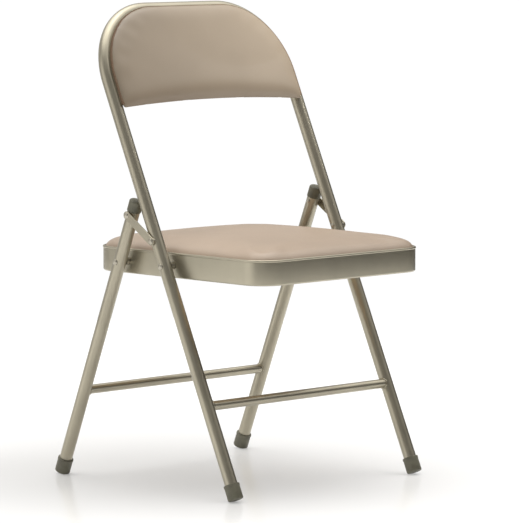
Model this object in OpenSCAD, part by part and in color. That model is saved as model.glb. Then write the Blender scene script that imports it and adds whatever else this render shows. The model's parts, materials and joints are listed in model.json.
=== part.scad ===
// Folding chair: inverted-U front frame, splayed rear legs, folding seat and two side links.
// Millimetres, +Z up, the sitter faces -Y, the sitter's left is +X.
// The origin is on the floor at the centre of the unfolded chair's box.

/* [Overall] */
// Height of the unfolded chair
overall_h = 815; // [740:1:980]
// Lean of the front frame back from vertical, degrees
frame_tilt = 24.5; // [22:0.1:26]
// Lean of the rear legs forward from vertical, degrees
leg_lean = 21.9; // [20:0.1:23]
// Distance between the tube centres of the two sides
leg_spacing = 430; // [360:1:520]

/* [Tubes] */
// Outside diameter of the frame and leg tubes
tube_d = 22; // [18:0.5:25]
// Wall of every tube
tube_wall = 1.2; // [0.8:0.1:2]
// Outside diameter of the crossbars
bar_d = 16; // [12:0.5:19]
// Centreline radius of the two top corners
bend_r = 130; // [90:1:170]
// Distance of the front crossbar from the floor, along the frame
front_bar_s = 168.5; // [120:1:220]
// Distance of the rear crossbar from the floor, along the legs
rear_bar_s = 163.5; // [120:1:220]

/* [Seat] */
// Gap between the apron's sides and the tubes
seat_gap = 8; // [4:0.5:14]
// Depth of the steel apron, front to back
seat_d = 419; // [360:1:480]
// Height of the apron's rim above the floor
seat_rim_h = 402; // [380:1:430]
// Height of the apron band
apron_h = 43; // [36:1:52]
// Sheet thickness of the apron
apron_wall = 1.5; // [1:0.1:2]
// Outside corner radius of the apron
seat_corner_r = 45; // [30:1:60]
// Distance from the front seat pivot to the seat's front edge
seat_overhang = 215; // [190:1:240]
// Rise of the crowned pad above the apron's rim
seat_crown = 26; // [15:1:35]
// Thickness of the plywood seat board
seat_board_t = 9; // [6:0.5:12]
// Depth of the board's top below the apron's rim
pad_recess = 4; // [2:0.5:8]
// Height of the rolled bead along the rim
bead_h = 3; // [2:0.5:4]
// How far the rolled bead stands out of the apron
bead_out = 0.8; // [0.4:0.1:1.2]

/* [Linkage] */
// Distance between the front and rear seat pivots
pivot_span = 112.5; // [93:0.1:135]
// Gap between the leg top caps and the front tubes when folded
fold_clear = 4.8; // [3:0.1:7]
// Width of the side link strap
link_w = 14; // [11:0.5:18]
// Thickness of the side link strap
link_t = 2.5; // [2:0.5:4]
// Diameter of the pivot rivets
rivet_d = 6; // [5:0.5:8]
// Diameter of the rivet heads
rivet_head_d = 10.5; // [9:0.5:13]
// Height of the rivet heads
rivet_head_h = 2.4; // [2:0.1:4]
// Length of the upset inner rivet ends
rivet_end_h = 1.8; // [1:0.1:3]
// Outside diameter of the washers and spacers
washer_d = 12; // [10:0.5:16]

/* [Caps] */
// Wall of the foot caps round the tube
cap_wall = 2.3; // [1.5:0.1:3]
// Wall of the leg top caps round the tube
top_cap_wall = 1.2; // [0.8:0.1:2]
// Thickness of a cap's closed end
cap_end = 3; // [2:0.5:5]
// Length of the foot caps
foot_cap_l = 27; // [20:1:40]
// Length of the leg top caps
top_cap_l = 20; // [14:1:26]
// Rounding of a cap's closed end
cap_round = 3; // [1:0.5:4]

/* [Backrest] */
// Height of the backrest from its lower corners to its top, along the frame
back_h = 178.5; // [140:0.5:215]
// Rise of the backrest's lower edge at the middle
back_arch = 8.5; // [4:0.5:14]
// Thickness of the whole backrest in front of the tube
back_t = 16; // [12:0.5:22]
// Thickness of the steel back panel
back_panel_t = 1.2; // [0.8:0.1:2]
// Thickness of the hardboard inside the backrest
back_board_t = 4; // [3:0.5:6]
// Inset of the backrest's outline from the tube's centreline
back_inset = 1; // [0:0.5:6]

/* [Fits] */
// Radial running clearance of the pivot rivets
run_fit = 0.05; // [0.02:0.01:0.1]
// Gap between flat faces that turn past each other
side_gap = 0.4; // [0.3:0.1:0.8]
// Gap between a leg top cap and the front tube, unfolded
cap_gap = 0.6; // [0.4:0.1:1.5]
// Thickness of the vinyl covers
vinyl_t = 1; // [0.6:0.1:1.5]

/* [Hidden] */
$fn = 64;
eps = 1;

steel = [0.66, 0.63, 0.55];
zinc = [0.62, 0.60, 0.55];
plastic = [0.38, 0.37, 0.29];
vinyl = [0.75, 0.68, 0.58];
timber = [0.72, 0.58, 0.40];
sponge = [0.86, 0.82, 0.66];

tube_r = tube_d / 2;
side_x = leg_spacing / 2;
seat_w = leg_spacing - tube_d - 2 * seat_gap;
cap_r = tube_r + cap_wall;
top_cap_r = tube_r + top_cap_wall;
sin_f = sin(frame_tilt);
cos_f = cos(frame_tilt);
sin_l = sin(leg_lean);
cos_l = cos(leg_lean);

// A foot cap's rounded rim reaches slightly under the floor and is cut flat there.
rim_dip = 0.6;
function foot_start(lean) =
    (cap_round - rim_dip + (cap_r - cap_round) * sin(lean)) / cos(lean) - cap_round;
front_foot_s = foot_start(frame_tilt);
rear_foot_s = foot_start(leg_lean);

// The seat pivots lie on the tube axes at one height, so the unfolded seat is level. They are as
// high as the rivet heads fit under the braces, and the braces under the shelf and the board.
shelf_z = seat_rim_h - pad_recess - seat_board_t;
brace_t = 2;
brace_top = shelf_z - apron_wall;
head_play = 0.25;
pivot_h = brace_top - brace_t - rivet_head_d / 2 - head_play;
front_pivot_s = pivot_h / cos_f;
rear_pivot_s = pivot_h / cos_l;
stance = pivot_span + pivot_h * (tan(frame_tilt) + tan(leg_lean));

// The origin's Y is the middle between the seat's front bead and the back of the rear foot caps.
seat_front_from_foot = pivot_h * tan(frame_tilt) - seat_overhang - bead_out;
rear_cap_back = stance - (rear_foot_s + cap_round) * sin_l + (cap_r - cap_round) * cos_l + cap_round;
front_foot_y = -(seat_front_from_foot + rear_cap_back) / 2;
rear_foot_y = front_foot_y + stance;
front_pivot_y = front_foot_y + pivot_h * tan(frame_tilt);
rear_pivot_y = front_pivot_y + pivot_span;
seat_y = front_pivot_y - seat_overhang + seat_d / 2;

// The rear leg ends where its rounded cap meets the back of the front tube, less the gap. The
// link pivot on the leg lies just below the cap.
cross_angle = frame_tilt + leg_lean;
cap_offset = tube_r + cap_gap + cap_round + (top_cap_r - cap_round) * cos(cross_angle);
leg_top_s = (stance * cos_f - cap_offset) / sin(cross_angle) + cap_round;
leg_link_s = leg_top_s - top_cap_l - side_gap - link_w / 2;
leg_rise = leg_link_s - rear_pivot_s;

// Linkage: unfolded it closes with a level seat, folded it closes with the rear legs parallel
// to the frame at fold_gap. Both closures together give the link pivot's place on the frame.
fold_gap = tube_r + top_cap_r + fold_clear;
fold_run = sqrt(pivot_span * pivot_span - fold_gap * fold_gap);
link_rise = leg_rise * (fold_run - pivot_span * sin_l)
    / (fold_run + pivot_span * sin_f - leg_rise * (1 - cos(cross_angle)));
link_pivot_s = front_pivot_s + link_rise;
link_pivot_y = front_foot_y + link_pivot_s * sin_f;
link_pivot_z = link_pivot_s * cos_f;
leg_link_y = rear_foot_y - leg_link_s * sin_l;
leg_link_z = leg_link_s * cos_l;
link_dy = leg_link_y - link_pivot_y;
link_dz = leg_link_z - link_pivot_z;
link_len = sqrt(link_dy * link_dy + link_dz * link_dz);
link_angle = atan2(link_dz, link_dy);

frame_top_s = (overall_h - tube_r) / cos_f;
floor_depth = 50;

// Across the chair, from the middle outwards.
apron_x = seat_w / 2;
tube_in_x = side_x - tube_r;
tube_out_x = side_x + tube_r;
washer_proud = 0.1;
washer_bite = 0.7;
washer_out_x = side_x + top_cap_r + washer_proud;
head_collar = 0.4;
inner_end_share = 0.8;
inner_end_d = rivet_head_d * inner_end_share;
link_in_x = washer_out_x + side_gap;
link_out_x = link_in_x + link_t;
rivet_in_x = apron_x - apron_wall - brace_t - side_gap;

// Seat, upwards from the apron's lower edge.
apron_z = seat_rim_h - apron_h;
inner_w = seat_w - 2 * apron_wall;
inner_d = seat_d - 2 * apron_wall;
inner_r = seat_corner_r - apron_wall;
shelf_w = 20;
hem_w = 8;
seat_play = 0.5;
board_top_z = shelf_z + seat_board_t;
crown_z = seat_rim_h + seat_crown;
seat_edge_drop = 13;
seat_ball_r = (pow(seat_w / 2, 2) + pow(seat_edge_drop, 2)) / (2 * seat_edge_drop);
cover_w = seat_w - 2 * apron_wall - 2 * seat_play;
cover_d = seat_d - 2 * apron_wall - 2 * seat_play;
cover_r = seat_corner_r - apron_wall - seat_play;
brace_w = 30;
brace_rim = 6;
brace_drop = brace_top - pivot_h + rivet_head_d / 2 + brace_rim;
screw_d = 4;
screw_head_d = 8;
screw_head_h = 2.2;
screw_bite = 6;
seat_screw_x = seat_w / 3;
screw_inset = 12;
seat_screw_y = inner_d / 2 - screw_inset;

// Backrest, outwards from the front of the tube.
back_w = leg_spacing - 2 * back_inset;
back_top_s = frame_top_s - back_inset;
back_s = back_top_s - back_h;
back_corner_r = bend_r - back_inset;
weld_gap = 0.1;
panel_v = tube_r + weld_gap;
board_v = panel_v + back_panel_t;
foam_v = board_v + back_board_t;
back_front_v = panel_v + back_t;
back_arch_r = (pow(back_w / 2, 2) + back_arch * back_arch) / (2 * back_arch);
back_screw_across = 0.28;
back_screw_x = back_w * back_screw_across;
back_screw_rows = [0.22, 0.7];
back_screw_s = [for (row = back_screw_rows) back_s + back_h * row];

// Puts the frame's own coordinates in place: x across, y to the rear, z along the tube.
module in_frame() {
    translate([0, front_foot_y, 0])
        rotate([-frame_tilt, 0, 0])
            children();
}

// The same for the rear legs.
module in_legs() {
    translate([0, rear_foot_y, 0])
        rotate([leg_lean, 0, 0])
            children();
}

// A cylinder along x from x0 to x1.
module across(x0, x1, d) {
    translate([x0, 0, 0])
        rotate([0, 90, 0])
            cylinder(d = d, h = x1 - x0);
}

// A rounded rectangle about the seat's centre, from z0 up to z1.
module seat_plate(w, d, r, z0, z1) {
    translate([0, seat_y, z0])
        linear_extrude(z1 - z0)
            union() {
                square([w - 2 * r, d], center = true);
                square([w, d - 2 * r], center = true);
                for (x = [-1, 1], y = [-1, 1])
                    translate([x * (w / 2 - r), y * (d / 2 - r)])
                        circle(r);
            }
}

// An arch-topped plate in the frame's plane, v0 to v1 in front of the tube axes.
module arch_plate(inset, v0, v1) {
    half = back_w / 2 - inset;
    r = back_corner_r - inset;
    top = back_top_s - inset;
    difference() {
        translate([0, -v0, 0])
            rotate([90, 0, 0])
                linear_extrude(v1 - v0)
                    union() {
                        translate([-half, back_s + inset])
                            square([2 * half, top - r - back_s - inset]);
                        translate([-half + r, back_s + inset])
                            square([2 * (half - r), top - back_s - inset]);
                        for (x = [-1, 1])
                            translate([x * (half - r), top - r])
                                circle(r);
                    }
        translate([0, -v0 + eps, back_s + back_arch + inset - back_arch_r])
            rotate([90, 0, 0])
                cylinder(r = back_arch_r, h = v1 - v0 + 2 * eps, $fn = 256);
    }
}

// A straight tube along z.
module pipe(d, length) {
    linear_extrude(length)
        difference() {
            circle(d = d);
            circle(d = d - 2 * tube_wall);
        }
}

// The bent frame tube, from s0 on one leg, over the top and down to s0 on the other.
module arch_pipe(s0) {
    straight = frame_top_s - bend_r;
    bend_x = side_x - bend_r;
    translate([0, 0, straight]) {
        for (side = [-1, 1]) {
            translate([side * side_x, 0, 0])
                mirror([0, 0, 1])
                    pipe(tube_d, straight - s0);
            translate([side * bend_x, 0, 0])
                rotate([90, 0, side > 0 ? 0 : 180])
                    rotate_extrude(angle = 90)
                        translate([bend_r, 0])
                            difference() {
                                circle(d = tube_d);
                                circle(d = tube_d - 2 * tube_wall);
                            }
        }
        translate([-bend_x, 0, bend_r])
            rotate([0, 90, 0])
                pipe(tube_d, 2 * bend_x);
    }
}

// A cap of outer radius r, closed at z = 0 and open at the top, with a bore for the tube.
module tube_cap(r, length) {
    difference() {
        rotate_extrude()
            union() {
                square([r - cap_round, length]);
                translate([0, cap_round])
                    square([r, length - cap_round]);
                translate([r - cap_round, cap_round])
                    circle(cap_round);
            }
        translate([0, 0, cap_end])
            cylinder(d = tube_d, h = length);
    }
}

module below_floor() {
    translate([-leg_spacing, -stance * 2, -floor_depth])
        cube([leg_spacing * 2, stance * 4, floor_depth]);
}

// A dome of diameter d and height h.
module dome(d, h) {
    ball = (d * d / 4 + h * h) / (2 * h);
    intersection() {
        translate([0, 0, h - ball])
            sphere(ball, $fn = 64);
        translate([-d, -d, 0])
            cube([2 * d, 2 * d, h + eps]);
    }
}

// A rivet head on the +X side: a dome on a short collar, coped to the tube it sits on.
module tube_dome(d, h) {
    difference() {
        across(side_x + tube_r / 2, tube_out_x + head_collar, d);
        translate([side_x, 0, -d])
            cylinder(d = tube_d, h = 2 * d);
    }
    translate([tube_out_x + head_collar, 0, 0])
        rotate([0, 90, 0])
            dome(d, h);
}

// The same on the inner side of the tube.
module tube_dome_in(d, h) {
    difference() {
        across(tube_in_x - head_collar, side_x - tube_r / 2, d);
        translate([side_x, 0, -d])
            cylinder(d = tube_d, h = 2 * d);
    }
    translate([tube_in_x - head_collar, 0, 0])
        rotate([0, -90, 0])
            dome(d, h);
}

module on_side(side) {
    if (side > 0)
        children();
    else
        mirror([1, 0, 0])
            children();
}

module on_both_sides() {
    for (side = [-1, 1])
        on_side(side)
            children();
}

// A washer between the tube and the link strap, coped to the tube.
module link_washer() {
    difference() {
        across(side_x + tube_r * washer_bite, washer_out_x, washer_d);
        translate([side_x, 0, -washer_d])
            cylinder(d = tube_d, h = 2 * washer_d);
        across(side_x, link_out_x, rivet_d);
    }
}

// A seat pivot rivet on the +X side: through the tube, the spacer, the apron and the brace.
module seat_rivet() {
    tube_dome(rivet_head_d, rivet_head_h);
    across(rivet_in_x, tube_out_x + head_collar, rivet_d);
    translate([rivet_in_x, 0, 0])
        rotate([0, -90, 0])
            dome(rivet_head_d, rivet_end_h);
}

// ---- Front frame ----

module frame_tube() {
    tube_start = front_foot_s + cap_end;
    color(steel)
        in_frame()
            difference() {
                arch_pipe(tube_start);
                for (s = [front_pivot_s, link_pivot_s])
                    translate([0, 0, s])
                        across(-tube_out_x - eps, tube_out_x + eps, rivet_d);
            }
}

// A crossbar between two tubes, its ends coped to them.
module crossbar(s) {
    difference() {
        translate([0, 0, s])
            difference() {
                across(-side_x, side_x, bar_d);
                across(-side_x - eps, side_x + eps, bar_d - 2 * tube_wall);
            }
        for (side = [-1, 1])
            translate([side * side_x, 0, s - tube_d])
                cylinder(d = tube_d, h = 2 * tube_d);
    }
}

module front_crossbar() {
    color(steel)
        in_frame()
            crossbar(front_bar_s);
}

module front_foot_cap(side) {
    color(plastic)
        difference() {
            in_frame()
                translate([side * side_x, 0, front_foot_s])
                    tube_cap(cap_r, foot_cap_l);
            below_floor();
        }
}

module front_pivot_rivets() {
    color(zinc)
        in_frame()
            translate([0, 0, front_pivot_s])
                on_both_sides()
                    seat_rivet();
}

module link_frame_rivets() {
    color(zinc)
        in_frame()
            translate([0, 0, link_pivot_s])
                on_both_sides() {
                    across(tube_in_x - head_collar, link_out_x + side_gap, rivet_d);
                    translate([link_out_x + side_gap, 0, 0])
                        rotate([0, 90, 0])
                            dome(rivet_head_d, rivet_head_h);
                    tube_dome_in(inner_end_d, rivet_end_h);
                }
}

module link_frame_washers() {
    color(zinc)
        in_frame()
            translate([0, 0, link_pivot_s])
                on_both_sides()
                    link_washer();
}

module back_screw_places() {
    for (x = [-back_screw_x, back_screw_x], s = back_screw_s)
        translate([x, 0, s])
            children();
}

module back_panel() {
    color(steel)
        in_frame()
            difference() {
                arch_plate(0, panel_v, board_v);
                back_screw_places()
                    rotate([90, 0, 0])
                        cylinder(d = screw_d, h = 2 * board_v);
            }
}

module back_board() {
    color(timber)
        in_frame()
            difference() {
                arch_plate(vinyl_t, board_v, foam_v);
                back_screw_places()
                    rotate([90, 0, 0])
                        cylinder(d = screw_d, h = foam_v + eps);
            }
}

module back_foam() {
    color(sponge)
        in_frame()
            arch_plate(vinyl_t, foam_v, back_front_v - vinyl_t);
}

module back_cover() {
    color(vinyl)
        in_frame()
            difference() {
                arch_plate(0, board_v, back_front_v);
                arch_plate(vinyl_t, board_v - eps, back_front_v - vinyl_t);
            }
}

module back_screws() {
    color(zinc)
        in_frame()
            back_screw_places() {
                translate([0, -panel_v, 0])
                    rotate([90, 0, 0])
                        cylinder(d = screw_d, h = foam_v - panel_v);
                translate([0, -panel_v, 0])
                    rotate([-90, 0, 0])
                        dome(screw_head_d, screw_head_h);
            }
}

// ---- Rear legs ----

module rear_leg(side) {
    tube_start = rear_foot_s + cap_end;
    tube_end = leg_top_s - cap_end;
    color(steel)
        in_legs()
            difference() {
                translate([side * side_x, 0, tube_start])
                    pipe(tube_d, tube_end - tube_start);
                for (s = [rear_pivot_s, leg_link_s])
                    translate([side * side_x, 0, s])
                        across(-tube_d, tube_d, rivet_d);
            }
}

module rear_crossbar() {
    color(steel)
        in_legs()
            crossbar(rear_bar_s);
}

module rear_foot_cap(side) {
    color(plastic)
        difference() {
            in_legs()
                translate([side * side_x, 0, rear_foot_s])
                    tube_cap(cap_r, foot_cap_l);
            below_floor();
        }
}

module leg_top_cap(side) {
    color(plastic)
        in_legs()
            translate([side * side_x, 0, leg_top_s])
                rotate([180, 0, 0])
                    tube_cap(top_cap_r, top_cap_l);
}

module rear_pivot_rivets() {
    color(zinc)
        in_legs()
            translate([0, 0, rear_pivot_s])
                on_both_sides()
                    seat_rivet();
}

module link_leg_washers() {
    color(zinc)
        in_legs()
            translate([0, 0, leg_link_s])
                on_both_sides()
                    link_washer();
}

// The rear leg's half of the opened pivot: a stub in the tube with an upset inner end.
module link_leg_rivet_ends() {
    color(zinc)
        in_legs()
            translate([0, 0, leg_link_s])
                on_both_sides() {
                    across(tube_in_x - head_collar, washer_out_x, rivet_d);
                    tube_dome_in(inner_end_d, rivet_end_h);
                }
}

// ---- Seat ----

module pivot_bores(d) {
    for (y = [front_pivot_y, rear_pivot_y])
        translate([0, y, pivot_h])
            across(-side_x, side_x, d);
}

module seat_screw_places(z) {
    for (x = [-seat_screw_x, 0, seat_screw_x], y = [-seat_screw_y, seat_screw_y])
        translate([x, seat_y + y, z])
            children();
}

module seat_apron() {
    color(steel)
        difference() {
            union() {
                seat_plate(seat_w, seat_d, seat_corner_r, apron_z, seat_rim_h);
                seat_plate(seat_w + 2 * bead_out, seat_d + 2 * bead_out, seat_corner_r + bead_out,
                    seat_rim_h - bead_h, seat_rim_h);
            }
            seat_plate(inner_w, inner_d, inner_r, apron_z + apron_wall, seat_rim_h + eps);
            seat_plate(inner_w - 2 * hem_w, inner_d - 2 * hem_w, inner_r - hem_w,
                apron_z - eps, apron_z + 2 * apron_wall);
            pivot_bores(rivet_d + 2 * run_fit);
        }
}

// The flat frame welded inside the apron, which the seat board lies on.
module seat_shelf() {
    color(steel)
        difference() {
            seat_plate(inner_w, inner_d, inner_r, shelf_z - apron_wall, shelf_z);
            seat_plate(inner_w - 2 * shelf_w, inner_d - 2 * shelf_w, inner_r - shelf_w,
                shelf_z - 2 * apron_wall, shelf_z + eps);
            seat_screw_places(shelf_z - 2 * apron_wall)
                cylinder(d = screw_d, h = 4 * apron_wall);
        }
}

// Two cross braces under the shelf, their ends turned down round the pivot rivets.
module seat_braces() {
    brace_x = apron_x - apron_wall;
    color(steel)
        for (y = [front_pivot_y, rear_pivot_y])
            difference() {
                translate([-brace_x, y - brace_w / 2, brace_top - brace_drop])
                    cube([2 * brace_x, brace_w, brace_drop]);
                translate([-brace_x + brace_t, y - brace_w, brace_top - brace_drop - eps])
                    cube([2 * (brace_x - brace_t), 2 * brace_w, brace_drop - brace_t + eps]);
                translate([0, y, pivot_h])
                    across(-side_x, side_x, rivet_d + 2 * run_fit);
            }
}

module seat_board() {
    color(timber)
        difference() {
            seat_plate(cover_w - 2 * vinyl_t, cover_d - 2 * vinyl_t, cover_r - vinyl_t,
                shelf_z, board_top_z);
            seat_screw_places(shelf_z - eps)
                cylinder(d = screw_d, h = screw_bite + eps);
        }
}

// The pad's shape above the board, `skin` thinner all round than its outer surface.
module crowned_pad(skin, z0) {
    intersection() {
        seat_plate(cover_w - 2 * skin, cover_d - 2 * skin, cover_r - skin, z0, crown_z + eps);
        translate([0, seat_y, crown_z - seat_ball_r])
            sphere(seat_ball_r - skin, $fn = 256);
    }
}

module seat_foam() {
    color(sponge)
        crowned_pad(vinyl_t, board_top_z);
}

module seat_cover() {
    color(vinyl)
        difference() {
            crowned_pad(0, shelf_z);
            crowned_pad(vinyl_t, shelf_z - eps);
        }
}

module seat_screws() {
    under_shelf = shelf_z - apron_wall;
    color(zinc)
        seat_screw_places(under_shelf) {
            cylinder(d = screw_d, h = apron_wall + screw_bite);
            rotate([180, 0, 0])
                dome(screw_head_d, screw_head_h);
        }
}

module pivot_spacers() {
    color(zinc)
        for (y = [front_pivot_y, rear_pivot_y])
            translate([0, y, pivot_h])
                on_both_sides()
                    difference() {
                        across(apron_x, tube_in_x - side_gap, washer_d);
                        across(apron_x - eps, tube_in_x, rivet_d + 2 * run_fit);
                    }
}

// ---- Side links ----

module at_link_pivot(x) {
    translate([x, link_pivot_y, link_pivot_z])
        rotate([link_angle, 0, 0])
            children();
}

module link(x0) {
    color(steel)
        difference() {
            union() {
                at_link_pivot(x0)
                    across(0, link_t, link_w);
                at_link_pivot(x0)
                    translate([0, link_len, 0])
                        across(0, link_t, link_w);
                at_link_pivot(x0)
                    translate([0, 0, -link_w / 2])
                        cube([link_t, link_len, link_w]);
            }
            at_link_pivot(x0)
                across(-eps, link_t + eps, rivet_d + 2 * run_fit);
            at_link_pivot(x0)
                translate([0, link_len, 0])
                    across(-eps, link_t + eps, rivet_d);
        }
}

// The link's half of the opened pivot: the outer head and the shank in the strap.
module link_rivet(side) {
    color(zinc)
        on_side(side)
            at_link_pivot(0)
                translate([0, link_len, 0]) {
                    across(link_in_x, link_out_x, rivet_d);
                    translate([link_out_x, 0, 0])
                        rotate([0, 90, 0])
                            dome(rivet_head_d, rivet_head_h);
                }
}

frame_tube();
front_crossbar();
front_foot_cap(1);  // front_foot_cap_left
front_foot_cap(-1);  // front_foot_cap_right
front_pivot_rivets();
link_frame_rivets();
link_frame_washers();
back_panel();
back_board();
back_foam();
back_cover();
back_screws();
rear_leg(1);  // rear_leg_left
rear_leg(-1);  // rear_leg_right
rear_crossbar();
rear_foot_cap(1);  // rear_foot_cap_left
rear_foot_cap(-1);  // rear_foot_cap_right
leg_top_cap(1);  // leg_top_cap_left
leg_top_cap(-1);  // leg_top_cap_right
rear_pivot_rivets();
link_leg_washers();
link_leg_rivet_ends();
seat_apron();
seat_shelf();
seat_braces();
seat_board();
seat_foam();
seat_cover();
seat_screws();
pivot_spacers();
link(link_in_x);  // link_left
link(-link_out_x);  // link_right
link_rivet(1);  // link_rivet_left
link_rivet(-1);  // link_rivet_right
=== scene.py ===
"""Looks of the folding chair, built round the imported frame. Metres, +Z up, the sitter faces -Y."""

import json
import math

import bmesh
import bpy
from mathutils import Matrix, Vector


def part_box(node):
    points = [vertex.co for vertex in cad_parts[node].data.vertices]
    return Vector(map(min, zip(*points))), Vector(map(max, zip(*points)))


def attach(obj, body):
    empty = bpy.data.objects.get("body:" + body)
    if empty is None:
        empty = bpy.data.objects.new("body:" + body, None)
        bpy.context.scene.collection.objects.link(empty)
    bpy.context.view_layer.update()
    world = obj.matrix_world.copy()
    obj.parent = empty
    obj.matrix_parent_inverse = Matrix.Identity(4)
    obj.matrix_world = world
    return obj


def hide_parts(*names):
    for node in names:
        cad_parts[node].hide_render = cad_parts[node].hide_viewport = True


MM = 0.001
SIDES = (("left", 1), ("right", -1))

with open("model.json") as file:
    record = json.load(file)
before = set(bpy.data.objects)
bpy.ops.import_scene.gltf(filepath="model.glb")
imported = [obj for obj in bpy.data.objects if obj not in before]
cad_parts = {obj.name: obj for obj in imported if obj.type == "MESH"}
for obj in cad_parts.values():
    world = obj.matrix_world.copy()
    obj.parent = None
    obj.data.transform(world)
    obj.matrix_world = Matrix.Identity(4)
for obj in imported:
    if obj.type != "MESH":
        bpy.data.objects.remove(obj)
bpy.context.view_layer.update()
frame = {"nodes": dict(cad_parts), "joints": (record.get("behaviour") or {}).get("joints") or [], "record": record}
nodes = frame["nodes"]
joints = {joint["name"]: joint for joint in frame["joints"]}

# ---------------------------------------------------------------- places taken from the frame


def joint_place(name):
    """A joint's pivot in the shared frame."""
    return Vector(joints[name]["pos_m"])


def tube_axes(low, high):
    """A matrix with its origin where the line low-high meets the floor and its Z along it."""
    up = Vector((0, high.y - low.y, high.z - low.z)).normalized()
    across = Vector((1, 0, 0))
    back = up.cross(across)
    foot = Vector((0, low.y - low.z * up.y / up.z, 0))
    place = Matrix((across, back, up)).transposed().to_4x4()
    place.translation = foot
    return place


def local_box(node, place):
    """Lowest and highest corner of a CAD node in the axes of `place`."""
    back_in = place.inverted()
    points = [back_in @ v.co for v in nodes[node].data.vertices]
    low = Vector(min(p[i] for p in points) for i in range(3))
    high = Vector(max(p[i] for p in points) for i in range(3))
    return low, high


SEAT_PIVOT = joint_place("seat_fold")
LEG_PIVOT = joint_place("rear_leg_fold")
LINK_PIVOT = joint_place("link_left_fold")
SIDE_X = LINK_PIVOT.x
rivet_low, rivet_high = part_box("link_rivet_left")
LINK_END = (rivet_low + rivet_high) / 2
FRAME = tube_axes(SEAT_PIVOT, LINK_PIVOT)
LEGS = tube_axes(LEG_PIVOT, LINK_END)
FLAT = Matrix.Identity(4)
leg_low, leg_high = local_box("rear_leg_left", LEGS)
TUBE_R = (leg_high.x - leg_low.x) / 2


def add_object(name, data):
    """Adds an object to the scene, at the origin."""
    made = bpy.data.objects.new(name, data)
    bpy.context.scene.collection.objects.link(made)
    return made


# ---------------------------------------------------------------- camera

CAMERA_AZIMUTH = math.radians(-44.30)
CAMERA_ELEVATION = math.radians(5.64)
CAMERA_DISTANCE = 6.3955
CAMERA_LENS = 254.7
CAMERA_AIM = Vector((0.0345, -0.0046, 0.3694))


def toward(azimuth, elevation):
    """A unit vector; azimuth 0 looks from the chair's front (-Y), 90 from its left (+X). Radians."""
    return Vector((
        math.sin(azimuth) * math.cos(elevation),
        -math.cos(azimuth) * math.cos(elevation),
        math.sin(elevation),
    ))


def make_camera():
    """The long-lens view from the chair's front right, a little above the seat."""
    back = toward(CAMERA_AZIMUTH, CAMERA_ELEVATION)
    data = bpy.data.cameras.new("camera")
    data.lens = CAMERA_LENS
    data.sensor_width = 36
    data.clip_end = 100
    camera = add_object("camera", data)
    camera.location = CAMERA_AIM + CAMERA_DISTANCE * back
    camera.rotation_euler = back.to_track_quat("Z", "Y").to_euler()
    bpy.context.scene.camera = camera


make_camera()

# ---------------------------------------------------------------- materials


class Finish:
    """A Principled material with helpers for its nodes."""

    def __init__(self, name, colour, roughness, metallic=0.0):
        self.material = bpy.data.materials.new(name)
        self.material.use_nodes = True
        self.tree = self.material.node_tree
        self.shader = self.tree.nodes["Principled BSDF"]
        self.colour = colour
        self.set("Base Color", (*colour, 1))
        self.set("Roughness", roughness)
        self.set("Metallic", metallic)
        coordinates = self.tree.nodes.new("ShaderNodeTexCoord")
        self.place = coordinates.outputs["Object"]

    def set(self, socket, value):
        """Gives a socket of the shader one value all over."""
        self.shader.inputs[socket].default_value = value

    def join(self, output, socket):
        """Drives a socket of the shader from a node."""
        self.tree.links.new(output, self.shader.inputs[socket])

    def node(self, kind, inputs=None, **settings):
        """Adds a node; each input is a value or another node's output."""
        made = self.tree.nodes.new(kind)
        for key, value in settings.items():
            setattr(made, key, value)
        for key, value in (inputs or {}).items():
            if isinstance(value, bpy.types.NodeSocket):
                self.tree.links.new(value, made.inputs[key])
            else:
                made.inputs[key].default_value = value
        return made

    def noise(self, scale, detail=2.0, roughness=0.5):
        """Cloudy noise from 0 to 1, `scale` clouds to the metre."""
        found = self.node(
            "ShaderNodeTexNoise",
            {"Vector": self.place, "Scale": scale, "Detail": detail, "Roughness": roughness},
        )
        return found.outputs["Fac"]

    def cells(self, scale, feature="F1"):
        """Distance inside the cells of a pebbled pattern, `scale` cells to the metre."""
        found = self.node(
            "ShaderNodeTexVoronoi", {"Vector": self.place, "Scale": scale}, feature=feature
        )
        return found.outputs["Distance"]

    def mottle(self, value, *stops):
        """Makes the colour lighter and darker by value; each stop is (position, factor)."""
        found = self.node("ShaderNodeValToRGB", {"Fac": value})
        elements = found.color_ramp.elements
        while len(elements) < len(stops):
            elements.new(0.5)
        for element, (position, factor) in zip(elements, stops):
            element.position = position
            element.color = (*(min(1.0, channel * factor) for channel in self.colour), 1)
        self.join(found.outputs["Color"], "Base Color")

    def gloss(self, value, low, high):
        """Lets the roughness run from low to high by value."""
        found = self.node(
            "ShaderNodeMapRange", {"Value": value, "To Min": low, "To Max": high}
        )
        self.join(found.outputs["Result"], "Roughness")

    def bumps(self, *layers):
        """Stacks bump layers; each is (height, distance, strength)."""
        normal = None
        for height, distance, strength in layers:
            inputs = {"Height": height, "Distance": distance, "Strength": strength}
            if normal is not None:
                inputs["Normal"] = normal
            normal = self.node("ShaderNodeBump", inputs).outputs["Normal"]
        self.join(normal, "Normal")


def taupe_enamel():
    """Satin metallic enamel: soft tone drift, fine orange peel and faint fingerprints in the gloss."""
    finish = Finish("taupe_enamel", (0.400, 0.368, 0.284), roughness=0.34, metallic=0.78)
    finish.set("Coat Weight", 0.10)
    finish.set("Coat Roughness", 0.22)
    tone_drift = finish.noise(14, 3)
    fingerprints = finish.noise(46, 4, 0.6)
    orange_peel = finish.noise(420, 2)
    dust = finish.noise(2600, 1)
    finish.mottle(tone_drift, (0.3, 0.92), (0.7, 1.06))
    finish.gloss(fingerprints, 0.27, 0.39)
    finish.bumps((orange_peel, 0.10 * MM, 0.30), (dust, 0.02 * MM, 0.5))
    return finish.material


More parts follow.
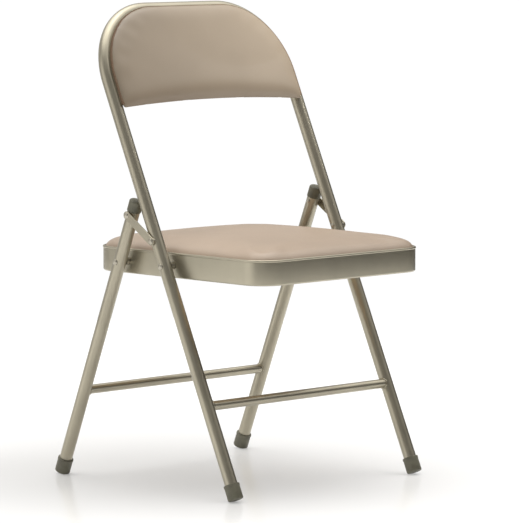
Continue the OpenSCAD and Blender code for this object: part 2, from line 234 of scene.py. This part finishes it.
def rivet_steel():
    """Rivets and washers in a thin coat of the frame's enamel, rubbed a little brighter."""
    finish = Finish("rivet_steel", (0.43, 0.40, 0.33), roughness=0.3, metallic=0.85)
    finish.gloss(finish.noise(900, 3), 0.26, 0.42)
    finish.bumps((finish.noise(1800, 2), 0.03 * MM, 0.4))
    return finish.material


def cap_plastic():
    """Moulded olive-grey plastic with a sparked grain."""
    finish = Finish("cap_plastic", (0.132, 0.126, 0.088), roughness=0.5)
    grain = finish.noise(1500, 3, 0.6)
    finish.mottle(finish.noise(60, 2), (0.35, 0.85), (0.7, 1.2))
    finish.gloss(grain, 0.42, 0.62)
    finish.bumps((grain, 0.12 * MM, 0.5))
    return finish.material


def vinyl(name, colour):
    """Upholstery vinyl: a shallow pebbled grain, softer creases in it and a satin top coat."""
    pebbles_per_metre = 620
    finish = Finish(name, colour, roughness=0.40)
    finish.set("Specular IOR Level", 0.5)
    finish.set("Coat Weight", 0.12)
    finish.set("Coat Roughness", 0.38)
    pebbles = finish.cells(pebbles_per_metre)
    creases = finish.cells(pebbles_per_metre, "DISTANCE_TO_EDGE")
    finish.mottle(finish.noise(9, 3), (0.3, 0.95), (0.7, 1.04))
    finish.gloss(pebbles, 0.38, 0.52)
    finish.bumps((creases, 0.12 * MM, 0.30), (finish.noise(2400, 2), 0.03 * MM, 0.3))
    return finish.material


def plywood():
    """Raw ply seen from below: long grain and pores."""
    finish = Finish("plywood", (0.50, 0.34, 0.19), roughness=0.7)
    stretched = finish.node(
        "ShaderNodeMapping", {"Vector": finish.place, "Scale": (220, 9, 40)}
    ).outputs["Vector"]
    grain = finish.node(
        "ShaderNodeTexNoise", {"Vector": stretched, "Scale": 1.0, "Detail": 6.0}
    ).outputs["Fac"]
    finish.mottle(grain, (0.3, 0.62), (0.5, 1), (0.75, 1.25))
    finish.bumps((grain, 0.2 * MM, 0.5))
    return finish.material


def hardboard():
    """Brown pressed hardboard."""
    finish = Finish("hardboard", (0.16, 0.10, 0.06), roughness=0.75)
    fibre = finish.noise(800, 5, 0.7)
    finish.mottle(fibre, (0.3, 0.7), (0.7, 1.3))
    finish.bumps((fibre, 0.1 * MM, 0.6))
    return finish.material


ENAMEL = taupe_enamel()
STEEL = rivet_steel()
PLASTIC = cap_plastic()
SEAT_VINYL = vinyl("seat_vinyl", (0.420, 0.325, 0.245))
# The back pad's vinyl is the seat's vinyl made darker: painted shade for the back's upright face, which gets less
# light than the seat.
BACK_VINYL_PAINTED_SHADE = vinyl("back_vinyl", (0.264, 0.212, 0.155))
PLYWOOD = plywood()
HARDBOARD = hardboard()
SLOT_FINISH = {
    "frame_paint": ENAMEL,
    "rivet_steel": STEEL,
    "cap_plastic": PLASTIC,
    "seat_vinyl": SEAT_VINYL,
    "back_vinyl": BACK_VINYL_PAINTED_SHADE,
    "plywood": PLYWOOD,
    "hardboard": HARDBOARD,
    "foam": HARDBOARD,
}
SLOT_OF = {part["node"]: part["material_slot"] for part in frame["record"]["subparts"]}


def dress_frame():
    """Gives every CAD node its procedural finish."""
    for node, slot in SLOT_OF.items():
        data = nodes[node].data
        data.materials.clear()
        data.materials.append(SLOT_FINISH[slot])


dress_frame()

# ---------------------------------------------------------------- shaping helpers

MERGE = 0.01 * MM


def only(kind, geometry):
    """The vertices or the edges among a bmesh operator's mixed results."""
    return [part for part in geometry if isinstance(part, kind)]


def arc(bm, vertex, centre, axis, degrees, steps):
    """Sweeps a vertex round a centre and returns the arc's last vertex."""
    made = bmesh.ops.spin(
        bm, geom=[vertex], cent=centre, axis=axis, angle=math.radians(degrees), steps=steps
    )
    return only(bmesh.types.BMVert, made["geom_last"])[0]


def run(bm, vertex, shift):
    """Extrudes a vertex in a straight line and returns the new end."""
    made = bmesh.ops.extrude_vert_indiv(bm, verts=[vertex])
    end = made["verts"][0]
    end.co = vertex.co + Vector(shift)
    return end


def rounded_outline(bm, low, high, radius, height):
    """A closed rounded rectangle in XY at the given height."""
    vertex = bm.verts.new((low.x + radius, low.y, height))
    wide = high.x - low.x - 2 * radius
    deep = high.y - low.y - 2 * radius
    corners = (
        ((wide, 0, 0), (0, radius, 0)),
        ((0, deep, 0), (-radius, 0, 0)),
        ((-wide, 0, 0), (0, -radius, 0)),
        ((0, -deep, 0), (radius, 0, 0)),
    )
    for straight, to_centre in corners:
        vertex = run(bm, vertex, straight)
        vertex = arc(bm, vertex, vertex.co + Vector(to_centre), (0, 0, 1), 90, 12)
    bmesh.ops.remove_doubles(bm, verts=bm.verts, dist=MERGE)


def fill_and_draw_out(bm, shift):
    """Fills the outline in a bmesh and draws it out into a block."""
    bmesh.ops.contextual_create(bm, geom=bm.edges[:])
    made = bmesh.ops.extrude_face_region(bm, geom=bm.faces[:])
    bmesh.ops.translate(bm, verts=only(bmesh.types.BMVert, made["geom"]), vec=shift)


def finish_mesh(name, bm, finish, place=FLAT):
    """Turns a bmesh into a smooth-shaded piece whose place is in its mesh."""
    bmesh.ops.recalc_face_normals(bm, faces=bm.faces)
    mesh = bpy.data.meshes.new(name)
    bm.to_mesh(mesh)
    bm.free()
    mesh.transform(place)
    mesh.materials.append(finish)
    mesh.shade_smooth()
    return add_object(name, mesh)


def apply_modifiers(piece):
    """Bakes a piece's modifiers into its mesh."""
    graph = bpy.context.evaluated_depsgraph_get()
    made = bpy.data.meshes.new_from_object(piece.evaluated_get(graph))
    piece.modifiers.clear()
    piece.data = made


def remesh(piece, voxel):
    """Even quads over a closed form, then a light smoothing."""
    even = piece.modifiers.new("remesh", "REMESH")
    even.mode = "VOXEL"
    even.voxel_size = voxel
    even.use_smooth_shade = True
    settle = piece.modifiers.new("settle", "SMOOTH")
    settle.factor = 0.5
    settle.iterations = 2
    apply_modifiers(piece)


def puff(piece, pinned, pressure, most):
    """Blows a cover up against its pinned stretch by cloth simulation; no point moves past `most`."""
    rest = [v.co.copy() for v in piece.data.vertices]
    group = piece.vertex_groups.new(name="held")
    group.add([v.index for v in piece.data.vertices if pinned(v.co)], 1.0, "REPLACE")
    cloth = piece.modifiers.new("cloth", "CLOTH")
    cloth.settings.vertex_group_mass = "held"
    cloth.settings.use_pressure = True
    cloth.settings.uniform_pressure_force = pressure
    cloth.settings.tension_stiffness = 25
    cloth.settings.compression_stiffness = 10
    cloth.settings.bending_stiffness = 20
    cloth.settings.effector_weights.gravity = 0
    cloth.collision_settings.use_collision = False
    scene = bpy.context.scene
    settled_by = 20
    for step in range(settled_by):
        scene.frame_set(step + 1)
    apply_modifiers(piece)
    scene.frame_set(1)
    for vertex, start in zip(piece.data.vertices, rest):
        moved = vertex.co - start
        if moved.length > most:
            vertex.co = start + moved * (most / moved.length)


def relax(piece, pinned, rounds):
    """Evens out the free part of a cover."""
    group = piece.vertex_groups.new(name="free")
    group.add([v.index for v in piece.data.vertices if not pinned(v.co)], 1.0, "REPLACE")
    modifier = piece.modifiers.new("relax", "SMOOTH")
    modifier.vertex_group = "free"
    modifier.factor = 0.5
    modifier.iterations = rounds
    apply_modifiers(piece)


def subdivide(piece):
    """One more level of smooth faces, baked in."""
    modifier = piece.modifiers.new("subdivision", "SUBSURF")
    modifier.levels = 1
    modifier.render_levels = 1
    apply_modifiers(piece)
    piece.data.shade_smooth()


def quarter(distance, radius):
    """A quarter-round's height, 0 at the edge to 1 at `radius` inside it."""
    left = max(0.0, 1 - max(0.0, distance) / radius)
    return math.sqrt(1 - left * left)


def corner_reach(across, along):
    """How far a point lies from a rounded corner's centre, or past it along a straight side."""
    if min(across, along) > 0:
        return math.hypot(across, along)
    return max(across, along)


# ---------------------------------------------------------------- steelwork

STRAP_EASE = 0.7 * MM
SHEET_EASE = 0.35 * MM
PANEL_EASE = 0.4 * MM


def eased(node, body, width, segments=2):
    """A CAD part with its sharp edges eased, for the sheet and plate parts."""
    source = nodes[node].data
    bm = bmesh.new()
    bm.from_mesh(source)
    bmesh.ops.remove_doubles(bm, verts=bm.verts, dist=MERGE / 2)
    bmesh.ops.dissolve_limit(
        bm, angle_limit=math.radians(1), verts=bm.verts, edges=bm.edges, use_dissolve_boundaries=False
    )
    mesh = bpy.data.meshes.new(node + "_eased")
    bm.to_mesh(mesh)
    bm.free()
    mesh.materials.append(source.materials[0])
    piece = add_object(node + "_eased", mesh)
    bevel = piece.modifiers.new("bevel", "BEVEL")
    bevel.width = width
    bevel.segments = segments
    bevel.limit_method = "ANGLE"
    bevel.angle_limit = math.radians(40)
    mesh.shade_smooth()
    weighted = piece.modifiers.new("weighted", "WEIGHTED_NORMAL")
    weighted.keep_sharp = True
    apply_modifiers(piece)
    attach(piece, body)
    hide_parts(node)


for side_name, side_sign in SIDES:
    eased("link_" + side_name, "link_strap_" + side_name, STRAP_EASE, 3)
for sheet_node in ("seat_shelf", "seat_braces"):
    eased(sheet_node, "seat", SHEET_EASE)
eased("back_panel", "front_frame", PANEL_EASE)

APRON_WALL = 1.5 * MM
APRON_HEM = 8 * MM
APRON_FOLD_R = 3 * MM
APRON_CORNER_R = 45 * MM
BEAD_R = 2.2 * MM
BEAD_OUT = 1 * MM
BEAD_NECK = 0.8 * MM


def apron_section(low, rim):
    """The apron's sheet section as (outward, z): hem, rounded foot, flat band, rolled bead."""
    section = [(-APRON_WALL - APRON_HEM, low), (-APRON_FOLD_R, low)]
    for degrees in range(-75, 1, 15):
        turn = math.radians(degrees)
        section.append((
            -APRON_FOLD_R + APRON_FOLD_R * math.cos(turn),
            low + APRON_FOLD_R + APRON_FOLD_R * math.sin(turn),
        ))
    section.append((0, rim - 2 * BEAD_R - BEAD_NECK))
    for degrees in range(-60, 161, 20):
        turn = math.radians(degrees)
        section.append((
            BEAD_OUT - BEAD_R + BEAD_R * math.cos(turn),
            rim - BEAD_R + BEAD_R * math.sin(turn),
        ))
    section.append((-APRON_WALL, rim - 2 * BEAD_R))
    section.append((-APRON_WALL, low + APRON_WALL))
    section.append((-APRON_WALL - APRON_HEM, low + APRON_WALL))
    return section


def seat_apron():
    """The pressed apron with its rolled bead and turned-in hem, drawn as one ring swept round."""
    low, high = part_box("seat_apron")
    bead = Vector((BEAD_OUT, BEAD_OUT, 0))
    face_low = low + bead
    face_high = high - bead
    middle_y = (face_low.y + face_high.y) / 2
    centre_x = face_high.x - APRON_CORNER_R
    centre_y = face_high.y - middle_y - APRON_CORNER_R
    section = apron_section(low.z, high.z)
    out, height = section[0]
    grow = Vector((out, out, 0))
    bm = bmesh.new()
    rounded_outline(bm, face_low - grow, face_high + grow, APRON_CORNER_R + out, height)
    ring = bm.edges[:]
    for next_out, next_height in section[1:] + section[:1]:
        made = bmesh.ops.extrude_edge_only(bm, edges=ring)["geom"]
        ring = only(bmesh.types.BMEdge, made)
        for vertex in only(bmesh.types.BMVert, made):
            from_x = vertex.co.x - math.copysign(centre_x, vertex.co.x)
            from_y = vertex.co.y - middle_y - math.copysign(centre_y, vertex.co.y - middle_y)
            outward = Vector((from_x, from_y, 0)).normalized()
            vertex.co += outward * (next_out - out) + Vector((0, 0, next_height - height))
        out, height = next_out, next_height
    bmesh.ops.remove_doubles(bm, verts=bm.verts, dist=MERGE)
    piece = finish_mesh("apron_shell", bm, ENAMEL)
    piece.data.set_sharp_from_angle(angle=math.radians(50))
    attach(piece, "seat")
    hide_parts("seat_apron")


seat_apron()

WELD_R = 1.5 * MM
WELD_STAND = 0.2 * MM
WELD_POINTS = 48
WELD_RIPPLES = 8
WELD_RIPPLE_DEPTH = 0.16


def weld_bead(name, body, place, side, height, bar_r):
    """A rippled weld round a crossbar's end, where it meets the tube."""
    ring_r = bar_r + WELD_STAND
    curve = bpy.data.curves.new(name, "CURVE")
    curve.dimensions = "3D"
    curve.bevel_depth = WELD_R
    curve.bevel_resolution = 3
    spline = curve.splines.new("POLY")
    spline.points.add(WELD_POINTS - 1)
    spline.use_cyclic_u = True
    for step, point in enumerate(spline.points):
        turn = 2 * math.pi * step / WELD_POINTS
        back = ring_r * math.sin(turn)
        inward = math.sqrt(TUBE_R ** 2 - back ** 2) + WELD_STAND
        point.co = (side * (SIDE_X - inward), back, height + ring_r * math.cos(turn), 1)
        point.radius = 1 + WELD_RIPPLE_DEPTH * math.sin(WELD_RIPPLES * turn)
    shape = add_object(name, curve)
    graph = bpy.context.evaluated_depsgraph_get()
    mesh = bpy.data.meshes.new_from_object(shape.evaluated_get(graph))
    bpy.data.objects.remove(shape)
    mesh.transform(place)
    mesh.materials.clear()
    mesh.materials.append(ENAMEL)
    mesh.shade_smooth()
    piece = add_object(name, mesh)
    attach(piece, body)


def weld_crossbar(bar, body, place):
    """The weld beads at both ends of a crossbar."""
    low, high = local_box(bar, place)
    for side, sign in SIDES:
        weld_bead(
            f"{bar}_weld_{side}", body, place, sign, (low.z + high.z) / 2, (high.z - low.z) / 2
        )


weld_crossbar("front_crossbar", "front_frame", FRAME)
weld_crossbar("rear_crossbar", "rear_legs", LEGS)

# ---------------------------------------------------------------- caps

CAP_ROUND = 3 * MM
CAP_DRAFT = 0.15 * MM
CAP_MOUTH = 4.6 * MM
CAP_STAND = 0.35 * MM
FOOT_BAND = 0.5 * MM
TOP_BAND = 0.1 * MM


def cap_profile(bm, radius, length, band):
    """The cap's half section, closed at its axis: floor of the cap, wall, raised band and mouth."""
    vertex = bm.verts.new((0, 0, 0))
    vertex = run(bm, vertex, (radius - CAP_ROUND, 0, 0))
    vertex = arc(bm, vertex, (radius - CAP_ROUND, 0, CAP_ROUND), (0, -1, 0), 90, 6)
    vertex = run(bm, vertex, (-CAP_DRAFT, 0, length - CAP_ROUND - CAP_MOUTH))
    for out, up in (
        (band * 0.5, 0.25 * MM), (band * 0.5, 0.55 * MM), (0, 2.6 * MM), (-band * 0.4, 0.7 * MM),
        (-band * 0.6, 0.4 * MM), (TUBE_R - radius + CAP_STAND, 0.1 * MM), (0, -3 * MM),
    ):
        vertex = run(bm, vertex, (out, 0, up))
    run(bm, vertex, (-vertex.co.x, 0, 0))


def cut_at_floor(bm):
    """Takes off what lies below the floor and closes the cut."""
    cut = bmesh.ops.bisect_plane(
        bm, geom=bm.verts[:] + bm.edges[:] + bm.faces[:], plane_co=(0, 0, 0), plane_no=(0, 0, -1),
        clear_outer=True,
    )
    cut_edges = only(bmesh.types.BMEdge, cut["geom_cut"])
    if cut_edges:
        bmesh.ops.contextual_create(bm, geom=cut_edges)


def moulded_cap(node, body, place, side, band):
    """A moulded cap: rounded closed end, slightly tapered wall, a raised band round its mouth."""
    low, high = local_box(node, place)
    upright = node.startswith("leg_top")
    bm = bmesh.new()
    cap_profile(bm, (high.x - low.x) / 2, high.z - low.z, band)
    bmesh.ops.spin(
        bm, geom=bm.verts[:] + bm.edges[:], cent=(0, 0, 0), axis=(0, 0, 1), angle=2 * math.pi,
        steps=64, use_merge=True,
    )
    bmesh.ops.remove_doubles(bm, verts=bm.verts, dist=MERGE)
    if upright:
        bmesh.ops.rotate(bm, verts=bm.verts, cent=(0, 0, 0), matrix=Matrix.Rotation(math.pi, 3, "X"))
    end = high.z if upright else low.z
    bmesh.ops.translate(bm, verts=bm.verts, vec=(side * SIDE_X, 0, end))
    bmesh.ops.transform(bm, verts=bm.verts, matrix=place)
    if not upright:
        cut_at_floor(bm)
    piece = finish_mesh(node + "_moulded", bm, PLASTIC)
    piece.data.set_sharp_from_angle(angle=math.radians(55))
    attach(piece, body)
    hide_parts(node)


for side_name, side_sign in SIDES:
    moulded_cap("front_foot_cap_" + side_name, "front_frame", FRAME, side_sign, FOOT_BAND)
    moulded_cap("rear_foot_cap_" + side_name, "rear_legs", LEGS, side_sign, FOOT_BAND)
    moulded_cap("leg_top_cap_" + side_name, "rear_legs", LEGS, side_sign, TOP_BAND)

# ---------------------------------------------------------------- seat

SEAT_PLAY = 0.6 * MM
SEAT_CORNER_R = APRON_CORNER_R - 2.6 * MM
SEAT_FOOT_UP = 1.5 * MM
SEAT_TUCK = 3 * MM
SEAT_ROUND_UP = 15 * MM
SEAT_ROUND_IN = 17 * MM
SEAT_PUFF_ROOM = 2 * MM
SEAT_CROWN_POWER = 2.4


def seat_pad():
    """The crowned vinyl seat: rounded over at its edge, swollen by its foam, held below the rim."""
    play = Vector((SEAT_PLAY, SEAT_PLAY, 0))
    low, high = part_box("seat_cover")
    low = low + play
    high = high - play
    low.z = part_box("seat_board")[0].z + SEAT_FOOT_UP
    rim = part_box("seat_apron")[1].z
    middle = (low + high) / 2
    half = (high - low) / 2
    flat_top = rim + 10 * MM
    bm = bmesh.new()
    rounded_outline(bm, low, high, SEAT_CORNER_R, low.z)
    fill_and_draw_out(bm, (0, 0, flat_top - low.z))
    piece = finish_mesh("seat_pad", bm, SEAT_VINYL)
    remesh(piece, voxel=5 * MM)
    edge_z = rim - SEAT_TUCK
    rise = high.z - edge_z - SEAT_ROUND_UP - SEAT_PUFF_ROOM
    for vertex in piece.data.vertices:
        across = abs(vertex.co.x - middle.x)
        along = abs(vertex.co.y - middle.y)
        reach = corner_reach(
            across - (half.x - SEAT_CORNER_R), along - (half.y - SEAT_CORNER_R)
        )
        crown_across = 1 - min(1, across / half.x) ** SEAT_CROWN_POWER
        crown_along = 1 - min(1, along / half.y) ** SEAT_CROWN_POWER
        round_over = SEAT_ROUND_UP * quarter(SEAT_CORNER_R - reach, SEAT_ROUND_IN)
        top_z = edge_z + round_over + rise * (crown_across * crown_along)
        vertex.co.z = low.z + (vertex.co.z - low.z) * (top_z - low.z) / (flat_top - low.z)
    puff(piece, lambda co: co.z < edge_z + 2 * MM, pressure=2.4, most=3.5 * MM)
    relax(piece, lambda co: co.z < edge_z, rounds=10)
    subdivide(piece)
    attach(piece, "seat")
    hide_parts("seat_cover", "seat_foam")


seat_pad()

# ---------------------------------------------------------------- backrest

BACK_ARCH = 8.5 * MM
BACK_CORNER_R = 129 * MM
BACK_SWELL = 5 * MM
BACK_SWELL_REACH = 32 * MM
BACK_PLAY = 0.5 * MM
BACK_SIDE_ROUND = 12 * MM
BACK_LOWER_ROUND = 16 * MM
BACK_ARCH_SNAP = 2.5 * MM


def arch_radius(half):
    """Radius of the lower edge's arch over a half width."""
    return (half ** 2 + BACK_ARCH ** 2) / (2 * BACK_ARCH)


def back_outline(bm, low, high, inset, depth):
    """The arch-topped outline of the backrest in its own XZ plane at the given depth."""
    half = high.x - inset
    radius = BACK_CORNER_R - inset
    top = high.z - inset
    bottom = low.z + inset
    back = (0, 1, 0)
    vertex = bm.verts.new((half, depth, bottom))
    vertex = run(bm, vertex, (0, 0, top - radius - bottom))
    vertex = arc(bm, vertex, vertex.co + Vector((-radius, 0, 0)), back, -90, 20)
    vertex = run(bm, vertex, (2 * (radius - half), 0, 0))
    vertex = arc(bm, vertex, vertex.co + Vector((0, 0, -radius)), back, -90, 20)
    vertex = run(bm, vertex, (0, 0, bottom - top + radius))
    sag_r = arch_radius(half)
    centre = Vector((0, depth, bottom + BACK_ARCH - sag_r))
    sweep = 2 * math.degrees(math.asin(half / sag_r))
    arc(bm, vertex, centre, back, sweep, 24)
    bmesh.ops.remove_doubles(bm, verts=bm.verts, dist=5 * MERGE)


def back_pad():
    """The vinyl backrest pad: its face full and smooth, its lower edge a thick roll."""
    low, high = local_box("back_cover", FRAME)
    bm = bmesh.new()
    back_outline(bm, low, high, BACK_PLAY, high.y)
    fill_and_draw_out(bm, (0, low.y - high.y, 0))
    piece = finish_mesh("back_pad", bm, BACK_VINYL_PAINTED_SHADE)
    remesh(piece, voxel=4 * MM)
    half = high.x
    arch_r = arch_radius(half)
    arch_centre = low.z + BACK_ARCH - arch_r
    for vertex in piece.data.vertices:
        reach = corner_reach(
            abs(vertex.co.x) - (half - BACK_CORNER_R), vertex.co.z - (high.z - BACK_CORNER_R)
        )
        above_arch = math.hypot(vertex.co.x, vertex.co.z - arch_centre) - arch_r
        if above_arch < BACK_ARCH_SNAP:
            above_arch = 0
            vertex.co.z = arch_centre + math.sqrt(arch_r ** 2 - vertex.co.x ** 2)
        side_round = 0.26 + 0.34 * quarter(BACK_CORNER_R - reach, BACK_SIDE_ROUND)
        full = 0.40 * (1 - min(1, abs(vertex.co.x) / half) ** 2)
        lower_round = 0.20 + 0.80 * quarter(above_arch, BACK_LOWER_ROUND)
        vertex.co.y = high.y - (high.y - vertex.co.y) * min(side_round + full, lower_round)
        vertex.co.z -= BACK_SWELL * max(0, 1 - above_arch / BACK_SWELL_REACH)
    puff(piece, lambda co: co.y > high.y - 3 * MM, pressure=2.0, most=2.5 * MM)
    relax(piece, lambda co: co.y > high.y - 2 * MM, rounds=28)
    subdivide(piece)
    piece.data.transform(FRAME)
    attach(piece, "front_frame")
    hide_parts("back_cover", "back_foam")


back_pad()

# ---------------------------------------------------------------- floor and light

FLOOR_REACH = 2.4
# Centre of the painted shadow in the floor's glow.
PAINTED_SHADOW_MIDDLE = (-0.15, 0.19, 0)


def floor_finish():
    """A white floor with a faint soft reflection; it glows with painted light, weaker round the chair as a painted
    shadow and up to plain white away from it.
    """
    finish = Finish("studio_floor", (0.62, 0.62, 0.62), roughness=0.16)
    finish.set("Specular IOR Level", 0.5)
    finish.set("Emission Color", (1, 1, 1, 1))
    # Painted shadow and glow: the floor's emission is weakest near the chair and rises to plain white farther out.
    reach = finish.node(
        "ShaderNodeVectorMath", {0: finish.place, 1: PAINTED_SHADOW_MIDDLE}, operation="DISTANCE"
    ).outputs["Value"]
    lit = finish.node(
        "ShaderNodeMapRange",
        {"Value": reach, "From Min": 0.10, "From Max": 1.00, "To Min": 0.20, "To Max": 0.56},
        interpolation_type="SMOOTHSTEP",
    ).outputs["Result"]
    finish.join(lit, "Emission Strength")
    return finish.material


def make_floor():
    """A round plain floor."""
    bm = bmesh.new()
    bmesh.ops.create_circle(bm, cap_ends=True, segments=96, radius=FLOOR_REACH)
    finish_mesh("floor", bm, floor_finish())


class Studio:
    """The room's light by direction: an even base and soft panels."""

    def __init__(self, base):
        self.world = bpy.data.worlds.new("studio")
        self.world.use_nodes = True
        self.tree = self.world.node_tree
        place = self.tree.nodes.new("ShaderNodeTexCoord")
        self.direction = place.outputs["Generated"]
        start = self.tree.nodes.new("ShaderNodeValue")
        start.outputs[0].default_value = base
        self.light = start.outputs[0]

    def panel(self, azimuth, elevation, inner, outer, strength):
        """A soft-edged round panel, full within `inner` degrees and gone by `outer`."""
        aim = self.tree.nodes.new("ShaderNodeVectorMath")
        aim.operation = "DOT_PRODUCT"
        aim.inputs[1].default_value = toward(math.radians(azimuth), math.radians(elevation))
        self.tree.links.new(self.direction, aim.inputs[0])
        edge = self.tree.nodes.new("ShaderNodeMapRange")
        edge.interpolation_type = "SMOOTHSTEP"
        edge.inputs["From Min"].default_value = math.cos(math.radians(outer))
        edge.inputs["From Max"].default_value = math.cos(math.radians(inner))
        edge.inputs["To Max"].default_value = strength
        self.tree.links.new(aim.outputs["Value"], edge.inputs["Value"])
        total = self.tree.nodes.new("ShaderNodeMath")
        self.tree.links.new(self.light, total.inputs[0])
        self.tree.links.new(edge.outputs["Result"], total.inputs[1])
        self.light = total.outputs["Value"]

    def finish(self):
        """Lights the scene, with plain white behind it."""
        world_nodes = self.tree.nodes
        lit = world_nodes["Background"]
        self.tree.links.new(self.light, lit.inputs["Strength"])
        lit.inputs["Color"].default_value = (1.0, 0.985, 0.96, 1)
        plain = world_nodes.new("ShaderNodeBackground")
        plain.inputs["Color"].default_value = (1, 1, 1, 1)
        plain.inputs["Strength"].default_value = 1.02
        seen = world_nodes.new("ShaderNodeLightPath")
        mix = world_nodes.new("ShaderNodeMixShader")
        self.tree.links.new(seen.outputs["Is Camera Ray"], mix.inputs["Fac"])
        self.tree.links.new(lit.outputs["Background"], mix.inputs[1])
        self.tree.links.new(plain.outputs["Background"], mix.inputs[2])
        self.tree.links.new(mix.outputs["Shader"], world_nodes["World Output"].inputs["Surface"])
        bpy.context.scene.world = self.world


def near_panel(place, aim, size, power):
    """A square panel light close to the chair."""
    data = bpy.data.lights.new("near_panel", "AREA")
    data.shape = "SQUARE"
    data.size = size
    data.energy = power
    data.spread = math.radians(46)
    light = add_object("near_panel", data)
    light.location = place
    light.rotation_euler = (Vector(place) - Vector(aim)).to_track_quat("Z", "Y").to_euler()
    light.visible_camera = False
    light.visible_glossy = False


def make_studio():
    """High panels left and overhead, low ones right and behind, dark flags to the left and in front."""
    studio = Studio(base=0.28)
    studio.panel(azimuth=68, elevation=62, inner=14, outer=42, strength=1.7)
    studio.panel(azimuth=-114, elevation=8, inner=10, outer=38, strength=1.0)
    studio.panel(azimuth=172, elevation=10, inner=16, outer=44, strength=0.35)
    studio.panel(azimuth=180, elevation=76, inner=10, outer=44, strength=2.7)
    studio.panel(azimuth=86, elevation=2, inner=22, outer=40, strength=-0.27)
    studio.panel(azimuth=16, elevation=2, inner=34, outer=64, strength=-0.20)
    studio.finish()
    near_panel(place=(0.80, -0.50, 1.22), aim=(0.15, 0.15, 0.82), size=0.40, power=1.3)
    bpy.context.scene.view_settings.view_transform = "Standard"


make_floor()
make_studio()
